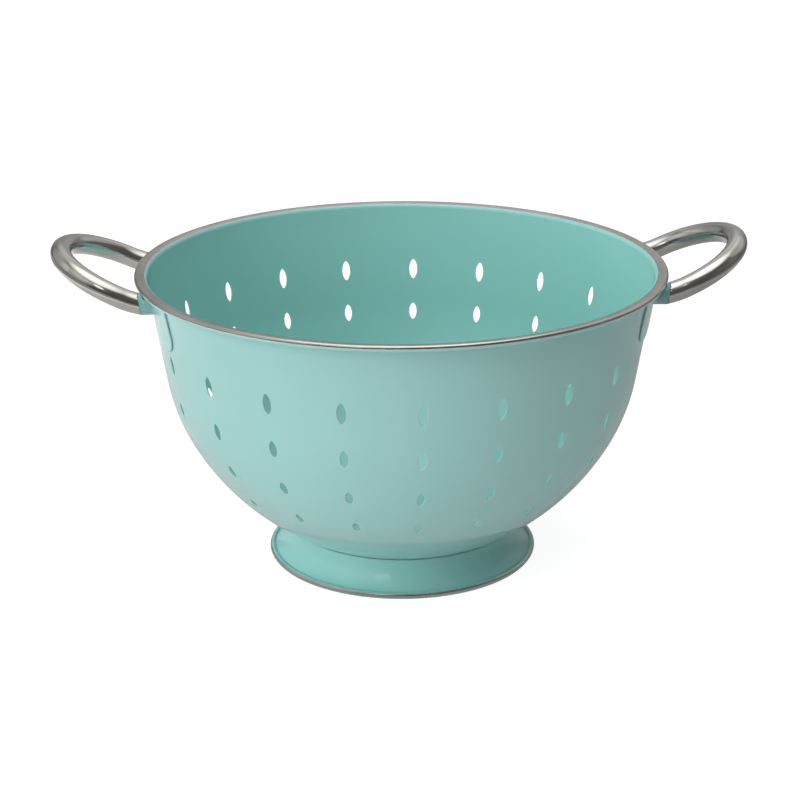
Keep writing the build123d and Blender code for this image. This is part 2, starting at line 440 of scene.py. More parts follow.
def new_tree(name, inputs, output):
    """Tree with named inputs, each a (name, kind), their identifiers, and its two ends."""
    tree = bpy.data.node_groups.new(name, "GeometryNodeTree")
    sockets = {}
    for label, kind in inputs:
        socket = tree.interface.new_socket(label, in_out="INPUT", socket_type="NodeSocket" + kind)
        sockets[label] = socket.identifier
    tree.interface.new_socket(output, in_out="OUTPUT", socket_type="NodeSocketGeometry")
    return tree, sockets, add(tree, "NodeGroupInput").outputs, add(tree, "NodeGroupOutput").inputs


def finished(tree, shape, finish, result):
    """Ends a tree: smooth and real geometry with its finish."""
    smooth = add(tree, "GeometryNodeSetShadeSmooth", Geometry=shape).outputs["Geometry"]
    real = add(tree, "GeometryNodeRealizeInstances", Geometry=smooth).outputs["Geometry"]
    done = add(tree, "GeometryNodeSetMaterial", Geometry=real, Material=finish)
    feed(tree, done.outputs["Geometry"], result)


def wrap_tree():
    """Repeats a flat cell in columns, joins it to the plain parts and wraps all of it round Z."""
    tree, sockets, given, result = new_tree("wrapped_sheet", (
        ("Plain Parts", "Geometry"), ("Section Line", "Object"), ("Slot Cell", "Object"),
        ("Columns", "Int"), ("Column Angle", "Float"), ("First Column", "Float"),
        ("Finish", "Material")), "Sheet")

    # A line of columns of cells
    step = add(tree, "ShaderNodeCombineXYZ", X=given["Column Angle"])
    first = add(tree, "ShaderNodeCombineXYZ", X=given["First Column"])
    columns = add(tree, "GeometryNodeMeshLine", mode="OFFSET", Count=given["Columns"],
                  Start_Location=first.outputs[0], Offset=step.outputs[0])
    cell = add(tree, "GeometryNodeObjectInfo", Object=given["Slot Cell"])
    placed = add(tree, "GeometryNodeInstanceOnPoints", Points=columns.outputs["Mesh"],
                 Instance=cell.outputs["Geometry"])
    joined = add(tree, "GeometryNodeJoinGeometry")
    for part in (placed.outputs["Instances"], given["Plain Parts"]):
        feed(tree, part, joined.inputs["Geometry"])
    flat = add(tree, "GeometryNodeRealizeInstances", Geometry=joined.outputs["Geometry"])

    # Wrapping: y finds the place on the section line, x is the angle round the axis
    place = add(tree, "GeometryNodeInputPosition").outputs[0]
    parts = add(tree, "ShaderNodeSeparateXYZ", Vector=place).outputs
    section = add(tree, "GeometryNodeObjectInfo", Object=given["Section Line"])
    sample = add(tree, "GeometryNodeSampleCurve", mode="LENGTH",
                 Curves=section.outputs["Geometry"], Length=parts["Y"])
    found = add(tree, "ShaderNodeSeparateXYZ", Vector=sample.outputs["Position"]).outputs
    wrapped = add(tree, "ShaderNodeCombineXYZ", Z=found["Z"])
    for axis, operation in (("X", "COSINE"), ("Y", "SINE")):
        turn = ordered(tree, "ShaderNodeMath", parts["X"], operation=operation)
        feed(tree, product(tree, found["X"], turn.outputs[0]), wrapped.inputs[axis])
    moved = add(tree, "GeometryNodeSetPosition", Geometry=flat.outputs["Geometry"],
                Position=wrapped.outputs[0])
    finished(tree, moved.outputs["Geometry"], given["Finish"], result["Sheet"])
    return tree, sockets


def rod_tree():
    """Sweeps a round section along a rod's middle line, and keeps its run and its round place."""
    tree, sockets, given, result = new_tree("swept_rod", (
        ("Carrier", "Geometry"), ("Middle Line", "Object"), ("Rod Radius", "Float"),
        ("Points Round", "Int"), ("Finish", "Material")), "Rod")
    line = add(tree, "GeometryNodeObjectInfo", Object=given["Middle Line"])
    along = add(tree, "GeometryNodeSplineParameter")
    run = add(tree, "GeometryNodeStoreNamedAttribute", data_type="FLOAT", domain="POINT",
              Name="rod_run", Geometry=line.outputs["Geometry"], Value=along.outputs["Length"])
    ring = add(tree, "GeometryNodeCurvePrimitiveCircle", mode="RADIUS",
               Radius=given["Rod Radius"], Resolution=given["Points Round"])
    place = add(tree, "GeometryNodeInputPosition")
    round_place = add(tree, "GeometryNodeStoreNamedAttribute", data_type="FLOAT_VECTOR",
                      domain="POINT", Name="rod_round", Geometry=ring.outputs["Curve"],
                      Value=place.outputs[0])
    swept = add(tree, "GeometryNodeCurveToMesh", Fill_Caps=True,
                Curve=run.outputs["Geometry"], Profile_Curve=round_place.outputs["Geometry"])
    finished(tree, swept.outputs["Mesh"], given["Finish"], result["Rod"])
    return tree, sockets


def evaluated(piece, tree, sockets, **values):
    """Runs a tree on a piece with these inputs and gives the result as a plain mesh."""
    modifier = piece.modifiers.new(tree.name, "NODES")
    modifier.node_group = tree
    for name, value in values.items():
        modifier[sockets[name.replace("_", " ")]] = value
    return baked(piece)


def baked(piece):
    """Plain mesh of a piece with all its modifiers, which are then removed."""
    bpy.context.view_layer.update()
    graph = bpy.context.evaluated_depsgraph_get()
    mesh = bpy.data.meshes.new_from_object(piece.evaluated_get(graph), depsgraph=graph)
    piece.modifiers.clear()
    return mesh


def line_object(name, points, closed=False):
    """Helper curve in the XZ plane, or in space, that a tree reads."""
    curve = bpy.data.curves.new(name, "CURVE")
    curve.dimensions = "3D"
    spline = curve.splines.new("POLY")
    spline.points.add(len(points) - 1)
    for made, point in zip(spline.points, points):
        made.co = (*point, 1.0)
    spline.use_cyclic_u = closed
    helper = bpy.data.objects.new(name, curve)
    bpy.context.scene.collection.objects.link(helper)
    return helper


def section_object(name, line, closed=False):
    return line_object(name, [(p.x * MM, 0.0, p.y * MM) for p in line], closed)


def scrap(*helpers):
    for helper in helpers:
        bpy.data.objects.remove(helper)


def welded(*meshes):
    """One mesh from several, with the points that meet made one."""
    shape = bmesh.new()
    for mesh in meshes:
        shape.from_mesh(mesh)
    bmesh.ops.remove_doubles(shape, verts=shape.verts, dist=WELD)
    return shape


def new_piece(name, shape, *finishes):
    """Finished bmesh as an object at the origin."""
    mesh = bpy.data.meshes.new(name)
    shape.to_mesh(mesh)
    shape.free()
    for finish in finishes:
        mesh.materials.append(finish)
    piece = bpy.data.objects.new(name, mesh)
    bpy.context.scene.collection.objects.link(piece)
    return piece


def set_painted_light_share(piece, shares):
    """Share of the second tone, painted light and shade, at each vertex, for its finish to read."""
    piece.data.attributes.new("painted_light_share", "FLOAT", "POINT").data.foreach_set("value", shares)


def seat(piece, slot, *nodes):
    """Hangs a finished piece on the root body and hides the solids it stands for; its slot is not
    used.
    """
    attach(piece, "root")
    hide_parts(*nodes)


# Finishes

def srgb(red, green, blue):
    """Linear colour from the 0 to 255 values that a screen shows."""
    out = []
    for value in (red, green, blue):
        value /= 255
        out.append(value / 12.92 if value <= 0.04045 else ((value + 0.055) / 1.055) ** 2.4)
    return (*out, 1.0)


def effect(name, inputs, outputs):
    """Empty shader group with named inputs, each a (name, kind, value), and outputs."""
    group = bpy.data.node_groups.new(name, "ShaderNodeTree")
    for label, kind, value in inputs:
        socket = group.interface.new_socket(label, in_out="INPUT", socket_type="NodeSocket" + kind)
        if value is not None:
            socket.default_value = value
    for label, kind in outputs:
        group.interface.new_socket(label, in_out="OUTPUT", socket_type="NodeSocket" + kind)
    return group, add(group, "NodeGroupInput").outputs, add(group, "NodeGroupOutput").inputs


def drift_effect():
    """Slow change over the surface, between two values and between two tones."""
    group, given, result = effect(
        "slow_drift",
        [("Place", "Vector", None), ("Size", "Float", 8.0), ("Low", "Float", 0.2),
         ("High", "Float", 0.3), ("Deep Tone", "Color", None), ("Pale Tone", "Color", None)],
        [("Value", "Float"), ("Tone", "Color")])
    cloud = add(group, "ShaderNodeTexNoise", Detail=3.0, Vector=given["Place"],
                Scale=given["Size"]).outputs["Fac"]
    share = fade(group, cloud, *NOISE_SPAN, kind="LINEAR")
    feed(group, fade(group, cloud, *NOISE_SPAN, given["Low"], given["High"]), result["Value"])
    feed(group, mixed(group, share, given["Deep Tone"], given["Pale Tone"]), result["Tone"])
    return group


def peel_effect():
    """Fine unevenness of a sprayed coating: a ripple and a finer grain."""
    group, given, result = effect(
        "coating_ripple",
        [("Place", "Vector", None), ("Ripple Size", "Float", 320.0),
         ("Grain Size", "Float", 1500.0)],
        [("Height", "Float")])
    ripple, grain = (
        add(group, "ShaderNodeTexNoise", Vector=given["Place"], Scale=given[size]).outputs["Fac"]
        for size in ("Ripple Size", "Grain Size"))
    feed(group, mixed(group, GRAIN_SHARE, ripple, grain, "FLOAT"), result["Height"])
    return group


def speck_effect():
    """Sparse fine specks, such as dust in or on a surface."""
    group, given, result = effect(
        "fine_specks",
        [("Place", "Vector", None), ("Size", "Float", 260.0), ("Share", "Float", 0.09)],
        [("Mask", "Float")])
    spots = add(group, "ShaderNodeTexVoronoi", feature="F1", Vector=given["Place"],
                Scale=given["Size"]).outputs
    near = fade(group, spots["Distance"], 0.0, given["Share"], 1.0, 0.0)
    pick = add(group, "ShaderNodeSeparateColor", Color=spots["Color"]).outputs["Red"]
    few = ordered(group, "ShaderNodeMath", pick, BARE_CELLS, operation="GREATER_THAN")
    feed(group, product(group, near, few.outputs[0]), result["Mask"])
    return group


def streak_effect():
    """Long fine streaks: polishing lines, from a place that is already stretched."""
    group, given, result = effect(
        "polishing_lines",
        [("Place", "Vector", None), ("Low", "Float", 0.15), ("High", "Float", 0.3)],
        [("Value", "Float"), ("Height", "Float")])
    fine = add(group, "ShaderNodeTexNoise", Scale=1.0, Detail=5.0, Roughness=0.7,
               Vector=given["Place"]).outputs["Fac"]
    spread = fade(group, fine, *NOISE_SPAN, given["Low"], given["High"], "LINEAR")
    feed(group, spread, result["Value"])
    feed(group, fine, result["Height"])
    return group


DRIFT = drift_effect()
PEEL = peel_effect()
SPECKS = speck_effect()
STREAKS = streak_effect()


def placed_effect(tree, group, place, **values):
    """An effect inside a material, with its own values; gives its outputs."""
    made = add(tree, "ShaderNodeGroup", node_tree=group)
    for name, value in {"Place": place, **values}.items():
        feed(tree, value, made.inputs[name.replace("_", " ")])
    return made.outputs


def new_finish(name, **shader_values):
    """Material with a bare Principled shader, with its tree and the shader's inputs."""
    material = bpy.data.materials.new(name)
    material.use_nodes = True
    inputs = material.node_tree.nodes["Principled BSDF"].inputs
    for label, value in shader_values.items():
        inputs[label.replace("_", " ")].default_value = value
    return material, material.node_tree, inputs


def own_place(tree):
    return add(tree, "ShaderNodeTexCoord").outputs["Object"]


def marked(tree, name, output="Fac"):
    """Value that a piece's mesh carries under this name."""
    return add(tree, "ShaderNodeAttribute", attribute_name=name).outputs[output]


def bumped(tree, shader, height, strength, distance):
    bump = add(tree, "ShaderNodeBump", Strength=strength, Distance=distance, Height=height)
    feed(tree, bump.outputs["Normal"], shader["Normal"])


def mint_coating(name, painted_light_tone):
    """Glossy sprayed mint coating, a little paler near the slots' edges, with a second tone of
    painted light and shade.
    """
    material, tree, shader = new_finish(name, IOR=1.5, Specular_IOR_Level=0.25,
                                        Coat_Weight=1.0, Coat_Roughness=0.04)
    place = own_place(tree)
    drift = placed_effect(tree, DRIFT, place, Size=7.0, Low=0.46, High=0.54,
                          Deep_Tone=srgb(140, 186, 182), Pale_Tone=srgb(145, 190, 186))
    # A second tone, painted light and shade, is mixed in by each vertex's share: deeper inside the
    # bowl than the outside's paler tone as painted shade and sheen, lighter on the foot as painted
    # light, and dark on the brackets' flares as painted shade.
    tone = mixed(tree, marked(tree, "painted_light_share"), drift["Tone"], painted_light_tone)
    # Paler towards the slots' edges.
    pale_edge = product(tree, marked(tree, "slot_edge"), PALE_EDGE_SHARE)
    tone = mixed(tree, pale_edge, tone, srgb(168, 208, 203))
    specks = placed_effect(tree, SPECKS, place)
    dust = product(tree, specks["Mask"], SPECK_SHARE)
    feed(tree, mixed(tree, dust, tone, srgb(168, 208, 204)), shader["Base Color"])
    feed(tree, drift["Value"], shader["Roughness"])
    bumped(tree, shader, placed_effect(tree, PEEL, place)["Height"], 0.12, 0.0002)
    return material


def round_streaks(tree):
    """Place for streaks that run round the Z axis, with no seam."""
    parts = add(tree, "ShaderNodeSeparateXYZ", Vector=own_place(tree)).outputs
    level = add(tree, "ShaderNodeCombineXYZ", X=parts["X"], Y=parts["Y"]).outputs[0]
    unit = ordered(tree, "ShaderNodeVectorMath", level, operation="NORMALIZE").outputs[0]
    slow = add(tree, "ShaderNodeVectorMath", operation="SCALE", Vector=unit, Scale=ROUND_SLOW)
    reach = ordered(tree, "ShaderNodeVectorMath", level, operation="LENGTH").outputs["Value"]
    across = ordered(tree, "ShaderNodeMath", reach, parts["Z"], operation="ADD").outputs[0]
    lift = add(tree, "ShaderNodeCombineXYZ", Z=product(tree, across, ROUND_QUICK))
    return ordered(tree, "ShaderNodeVectorMath", slow.outputs[0], lift.outputs[0],
                   operation="ADD").outputs[0]


def long_streaks(tree):
    """Place for streaks that run along a rod, from the rod's own attributes."""
    lift = add(tree, "ShaderNodeCombineXYZ", Z=product(tree, marked(tree, "rod_run"), ROD_SLOW))
    quick = add(tree, "ShaderNodeVectorMath", operation="SCALE", Scale=ROD_QUICK,
                Vector=marked(tree, "rod_round", "Vector"))
    return ordered(tree, "ShaderNodeVectorMath", quick.outputs[0], lift.outputs[0],
                   operation="ADD").outputs[0]


def steel(name, streak_place, low, high, deep, pale, depth):
    """Bare steel with polishing lines and slow changes of tone."""
    material, tree, shader = new_finish(name, Metallic=1.0)
    lines = placed_effect(tree, STREAKS, streak_place(tree), Low=low, High=high)
    drift = placed_effect(tree, DRIFT, own_place(tree), Size=35.0, Low=0.0, High=0.05,
                          Deep_Tone=deep, Pale_Tone=pale)
    rough = ordered(tree, "ShaderNodeMath", lines["Value"], drift["Value"], operation="ADD")
    feed(tree, rough.outputs[0], shader["Roughness"])
    feed(tree, drift["Tone"], shader["Base Color"])
    bumped(tree, shader, lines["Height"], 0.25, depth)
    return material


# The bowl's inside takes a deeper tone than the outside: painted shade inside, painted sheen
# outside.
MINT = mint_coating("mint_coating", srgb(131, 188, 182))
# The foot's second tone is lighter: painted light on the foot, which the bowl shades.
FOOT_MINT = mint_coating("foot_coating", srgb(138, 197, 192))
# The bracket's flare takes this dark tone: painted shade under the rim.
BRACKET_MINT_WITH_PAINTED_SHADE = mint_coating("bracket_mint_painted_shade", srgb(96, 140, 137))
RIM_STEEL = steel("rim_steel", round_streaks, 0.17, 0.28,
                  srgb(186, 183, 176), srgb(205, 202, 196), 0.00002)
ROD_STEEL = steel("rod_steel", long_streaks, 0.03, 0.1,
                  srgb(188, 186, 178), srgb(204, 202, 195), 0.00001)


# Bowl

def bowl():
    tree, sockets = WRAP
    line = section_object("sheet_line", SHEET_LINE)
    meshes = []
    rows = [run_of_row(FIRST_ROW + k * ROW_PITCH) for k in range(len(SLOT_LENGTHS))]
    # The rows' cells meet half way between two rows.
    borders = [rows[0] - (rows[1] - rows[0]) / 2]
    borders += [(a + b) / 2 for a, b in zip(rows, rows[1:])]
    borders.append(rows[-1] + (rows[-1] - rows[-2]) / 2)
    for k, run in enumerate(rows):
        low, high = borders[k], borders[k + 1]
        for angle, group_middle, sector in zip(COLUMN_ANGLES, GROUP_ANGLES, plain_sectors()):
            cell = slot_cell("slot_cell", run, angle, high - low, SLOT_LENGTHS[k], SLOT_WIDTHS[k],
                             ACROSS_CELL, DOWN_CELL)
            # A cell whose slot isn't quite in its middle still ends on the shared borders.
            for point in cell.data.vertices[-2 * (ACROSS_CELL + DOWN_CELL):]:
                point.co.y += ((low + high) / 2 - run) * MM
            points, faces = [], []
            grid_part(sector, spaced(low, high, DOWN_CELL), points, faces)
            plain = flat_object("plain_sector", points, faces)
            first = group_middle - angle * (COLUMNS_PER_GROUP - 1) / 2
            meshes.append(evaluated(
                plain, tree, sockets, Section_Line=line, Slot_Cell=cell, Columns=COLUMNS_PER_GROUP,
                Column_Angle=math.radians(angle), First_Column=math.radians(first), Finish=MINT))
            scrap(plain, cell)

    # Plain parts: the curl and the band under it, and the lower bowl to the drains
    drain_outside = run_at_radius(DRAIN_RING + DRAIN_CELL / 2)
    drain_inside = run_at_radius(DRAIN_RING - DRAIN_CELL / 2)
    curl = sorted(set(SHEET_RUNS[:len(CURL_LINE)]) | set(spaced(SHEET_RUNS[0], SHEET_RUNS[1], 3)))
    top = curl + spaced(curl[-1], borders[0], round((borders[0] - curl[-1]) / BAND_STEP))[1:]
    low_end = drain_outside - DRAIN_BRIDGE
    low = spaced(borders[-1], low_end, round((low_end - borders[-1]) / BAND_STEP))
    points, faces = [], []
    grid_part(ring_angles(), top, points, faces)
    grid_part(ring_angles(), low, points, faces)
    turns = spaced(0, 360, DRAIN_COUNT * ACROSS_DRAIN)
    centre = spaced(drain_inside, SHEET_RUNS[-1], 5)
    grid_part(turns, centre, points, faces)
    plain = flat_object("plain_parts", points, faces)
    drain = slot_cell("drain_cell", run_at_radius(DRAIN_RING), 360 / DRAIN_COUNT, DRAIN_CELL,
                      DRAIN_LENGTH, DRAIN_WIDTH, ACROSS_DRAIN, ACROSS_DRAIN)
    meshes.append(evaluated(
        plain, tree, sockets, Section_Line=line, Slot_Cell=drain, Columns=DRAIN_COUNT,
        Column_Angle=2 * math.pi / DRAIN_COUNT, First_Column=0.0, Finish=MINT))
    scrap(plain, drain, line)

    shape = welded(*meshes)
    flat_faces = [face for face in shape.faces if face.calc_area() < NO_AREA]
    bmesh.ops.delete(shape, geom=flat_faces, context="FACES_ONLY")
    # The two rings beside the drains have different counts, so they are bridged.
    rings = []
    for radius in (radius_at_run(low_end), DRAIN_RING + DRAIN_CELL / 2):
        rings += [
            edge for edge in shape.edges
            if edge.is_boundary
            and all(abs(v.co.xy.length - radius * MM) < RING_NEAR for v in edge.verts)
        ]
    bmesh.ops.bridge_loops(shape, edges=rings)
    for face in shape.faces:
        face.smooth = True
    piece = new_piece("perforated_bowl", shape, MINT, RIM_STEEL)
    solid = piece.modifiers.new("sheet", "SOLIDIFY")
    solid.thickness = SHEET * MM
    solid.offset = -1.0
    solid.use_even_offset = True
    soft = piece.modifiers.new("edges", "BEVEL")
    soft.width = EDGE_WIDTH * MM
    soft.segments = 2
    soft.limit_method = "ANGLE"
    soft.angle_limit = math.radians(EDGE_ANGLE)
    old = piece.data
    piece.data = baked(piece)
    bpy.data.meshes.remove(old)
    # Faces towards the inside take the deeper tone, as painted shade; the outside keeps its paler
    # tone, as painted sheen.
    middle = Vector((0, 0, INSIDE_MIDDLE * MM))
    set_painted_light_share(piece, [1.0 if v.normal.dot(middle - v.co) > 0 else 0.0 for v in piece.data.vertices])
    for face in piece.data.polygons:
        reach = face.center.xy.length / MM
        height = face.center.z / MM
        bare = reach > BARE_RIM_INSIDE and height > BARE_RIM_LOW and height > RIM_TOP - 2
        face.material_index = 1 if bare else 0
    return piece


# Foot

def foot_line():
    """Closed outline of the foot's section, against the clock, in millimetres."""
    under_knuckle = KNUCKLE_RADIUS + SEAT_GAP
    flange_turn = math.degrees(FLANGE_WIDTH / KNUCKLE_RADIUS)
    bead = FOOT_BEAD / 2
    middle = Vector((FOOT_RADIUS - bead, bead))
    start = SECTION.knuckle + outward(SECTION.seat_lean) * under_knuckle
    # Arc of the skirt: it leaves the seat at its own lean and runs to the bead's middle.
    lean = math.radians(FOOT_START_LEAN)
    direction = Vector((math.sin(lean), -math.cos(lean)))
    normal = Vector((direction.y, -direction.x))
    chord = middle - start
    radius = chord.length_squared / (2 * chord.dot(normal))
    centre = start + normal * radius
    return start, middle, centre, abs(radius), under_knuckle, flange_turn


def foot():
    tree, sockets = WRAP
    start, middle, centre, radius, under_knuckle, flange_turn = foot_line()
    bead = FOOT_BEAD / 2

    def on_skirt(share, reach):
        first = math.atan2(start.y - centre.y, start.x - centre.x)
        last = math.atan2(middle.y - centre.y, middle.x - centre.x)
        turn = last - first
        turn = (turn + math.pi) % (2 * math.pi) - math.pi
        angle = first + turn * share
        return centre + Vector((math.cos(angle), math.sin(angle))) * reach

    # Which side of the arc is the outside: the one nearer its centre, for a flare
    outer, inner = radius, radius + SHEET
    line = []
    # Bead, from where the skirt's outside meets it, round underneath, to the skirt's inside
    meet_out = [k / 200 for k in range(200) if (on_skirt(k / 200, outer) - middle).length <= bead]
    meet_in = [k / 200 for k in range(200) if (on_skirt(k / 200, inner) - middle).length <= bead]
    first_out, first_in = meet_out[0], meet_in[0]
    a = on_skirt(first_out, outer) - middle
    b = on_skirt(first_in, inner) - middle
    angle_a = math.atan2(a.y, a.x)
    angle_b = math.atan2(b.y, b.x)
    sweep = (angle_b - angle_a) % (2 * math.pi) - 2 * math.pi
    for k in range(BEAD_STEPS + 1):
        turn = angle_a + sweep * k / BEAD_STEPS
        point = middle + Vector((math.cos(turn), math.sin(turn))) * bead
        # The bead is flat where it stands on the table.
        if abs(point.x - middle.x) < FOOT_FLAT / 2 and point.y < bead:
            point.y = 0.0
        line.append(point)
    for k in range(1, SKIRT_STEPS + 1):
        line.append(on_skirt(first_in * (1 - k / SKIRT_STEPS), inner))
    flange_low = under_knuckle + SHEET
    seat = SECTION.seat_lean
    corner = SECTION.knuckle + outward(seat + 1.0) * flange_low
    line[-1] = line[-2].lerp(corner, 0.5)
    for k in range(FLANGE_STEPS + 1):
        lean = seat + 1.0 + (flange_turn - 1.0) * k / FLANGE_STEPS
        line.append(SECTION.knuckle + outward(lean) * flange_low)
    for k in range(FLANGE_STEPS + 1):
        lean = seat + flange_turn * (1 - k / FLANGE_STEPS)
        line.append(SECTION.knuckle + outward(lean) * under_knuckle)
    for k in range(1, SKIRT_STEPS + 1):
        line.append(on_skirt(first_out * k / SKIRT_STEPS, outer))
    line = line[:-1]
    helper = section_object("foot_line", line, closed=True)
    lengths = runs(line + [line[0]])
    points, faces = [], []
    grid_part(spaced(0, 360, FOOT_TURNS), lengths, points, faces)
    plain = flat_object("foot_plain", points, faces)
    mesh = evaluated(plain, tree, sockets, Section_Line=helper, Columns=0, Finish=FOOT_MINT)
    scrap(plain, helper)
    shape = welded(mesh)
    bmesh.ops.recalc_face_normals(shape, faces=shape.faces)
    for face in shape.faces:
        face.smooth = True
        middle_point = face.calc_center_median()
        reach = middle_point.xy.length / MM
        height = middle_point.z / MM
        bare = BARE_BEAD_LOW < height < BARE_BEAD_HIGH and reach > FOOT_RADIUS - FOOT_BEAD / 2
        face.material_index = 1 if bare else 0
    piece = new_piece("flared_foot", shape, FOOT_MINT, RIM_STEEL)
    # The whole foot takes its lighter tone, as painted light.
    set_painted_light_share(piece, [1.0] * len(piece.data.vertices))
    return piece


# Handles

def handle_matrix():
    """Place of the right handle's own plane, as in the solids, in millimetres."""
    tilt = math.radians(HANDLE_TILT)
    rise = LEG_LENGTH * math.tan(math.radians(LEG_ANGLE / 2))
    beside = HANDLE_SPREAD / 2 - ROD / 4
    reach = math.sqrt((RIM_RADIUS + ROD_CLEARANCE) ** 2 - beside ** 2)
    end_x = reach - ROD_DROP * math.tan(math.radians(WALL_LEAN))
    end_z = CURL_BOTTOM - ROD_DROP
    origin = Vector((end_x + rise * math.sin(tilt), 0, end_z - rise * math.cos(tilt)))
    columns = (
        Vector((math.cos(tilt), 0, math.sin(tilt))),
        Vector((0, 1, 0)),
        Vector((-math.sin(tilt), 0, math.cos(tilt))),
    )
    matrix = Matrix([[c[row] for c in columns] for row in range(3)]).to_4x4()
    matrix.translation = origin
    return matrix, Vector((end_x, 0, end_z))


def rod_line():
    """Middle line of the right rod, from past one end to past the other, in metres."""
    matrix, _ = handle_matrix()
    turn = math.radians(LEG_ANGLE)
    bend = LEG_LENGTH / math.sin(turn)
    half = HANDLE_SPREAD / 2
    local = []
    rise = LEG_LENGTH * math.tan(turn / 2)
    for k in range(5):
        spare = ROD * (1 - k / 4)
        local.append((-spare * math.cos(turn), -half, rise + spare * math.sin(turn)))
    for k in range(1, 13):
        left = turn * (1 - k / 12)
        local.append((LEG_LENGTH - bend * math.sin(left), -half, bend * (1 - math.cos(left))))
    for k in range(1, 181):
        along = math.radians(-90 + k)
        local.append((LEG_LENGTH + HANDLE_REACH * math.cos(along), half * math.sin(along), 0.0))
    mirrored = [(x, -y, z) for x, y, z in reversed(local[:17])]
    return [matrix @ Vector(p) * MM for p in local + mirrored[1:]]


def rod(name, half_turn, *nodes):
    tree, sockets = ROD_SWEEP
    helper = line_object("rod_line", [tuple(p) for p in rod_line()])
    carrier = flat_object("rod_carrier", [], [])
    mesh = evaluated(carrier, tree, sockets, Middle_Line=helper, Rod_Radius=ROD / 2 * MM,
                     Points_Round=ROD_POINTS, Finish=ROD_STEEL)
    scrap(helper, carrier)
    shape = welded(mesh)
    _, end = handle_matrix()
    normal = outward(WALL_LEAN)
    bmesh.ops.bisect_plane(
        shape, geom=[*shape.verts, *shape.edges, *shape.faces], plane_co=end * MM,
        plane_no=(normal.x, 0, normal.y), clear_inner=True)
    bmesh.ops.holes_fill(shape, edges=[e for e in shape.edges if e.is_boundary])
    for face in shape.faces:
        face.smooth = len(face.verts) == 4
    bmesh.ops.recalc_face_normals(shape, faces=shape.faces)
    if half_turn:
        bmesh.ops.rotate(shape, verts=shape.verts, matrix=Matrix.Rotation(math.pi, 3, "Z"))
    piece = new_piece(name, shape, ROD_STEEL)
    seat(piece, "steel", *nodes)
    return piece


def bracket(node):
    """Painted bracket: the solid's own shape with its corners and joints run soft."""
    shape = bmesh.new()
    shape.from_mesh(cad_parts[node].data)
    bmesh.ops.remove_doubles(shape, verts=shape.verts, dist=WELD)
    piece = new_piece(node + "_coated", shape, BRACKET_MINT_WITH_PAINTED_SHADE)
    even = piece.modifiers.new("even", "REMESH")
    even.mode = "VOXEL"
    even.voxel_size = BRACKET_GRID * MM
    even.use_smooth_shade = True
    soft = piece.modifiers.new("soft", "SMOOTH")
    soft.factor = 0.5
    soft.iterations = BRACKET_SMOOTHING
    old = piece.data
    piece.data = baked(piece)
    bpy.data.meshes.remove(old)
    if not piece.data.materials:
        piece.data.materials.append(BRACKET_MINT_WITH_PAINTED_SHADE)
    for face in piece.data.polygons:
        face.use_smooth = True
    # The flare takes a dark tone as painted shade under the rim, fading to the plain tone on the
    # strap.
    beyond = [v.co.xy.length / MM - cone_radius(v.co.z / MM, 0.0) for v in piece.data.vertices]
    set_painted_light_share(piece, [min(max((far - FLARE_FROM) / FLARE_FADE, 0.0), 1.0) for far in beyond])
    seat(piece, "enamel", node)
    return piece


WRAP = wrap_tree()
ROD_SWEEP = rod_tree()

seat(bowl(), "enamel", "bowl")
seat(foot(), "enamel", "foot_ring")
rod("right_handle", False, "handle_rod_right")
rod("left_handle", True, "handle_rod_left")
for bracket_side in ("right", "left"):
    for bracket_end in ("back", "front"):
        bracket(f"bracket_{bracket_side}_{bracket_end}")


# Floor, light and camera

# How bright gloss and metal see the floor: close to the object, in the lit ring round
# it and far off, and how much more of it they see on the left than on the right
CLOSE_FLOOR, LIT_FLOOR, FAR_FLOOR = 0.32, 0.55, 0.1
LEFT_SHARE, RIGHT_SHARE = 1.3, 0.4
# How bright the camera sees it, near and far off, beside the lamps' own light on it
NEAR_WHITE, FAR_WHITE = 0.9, 1.0
UNDER_FOOT = 0.25
# Where those change, in metres: from the middle, or for the sides along X
RING_START = (0.3, 0.4)
RING_END = (0.46, 0.56)
SIDES = (-0.3, 0.35)
WHITENING = (0.6, 1.8)
# Tones of the floor: as it lights the object, and under what the camera and gloss see
FLOOR_TONES = (0.88, 0.22)
FLOOR_HALF = 4


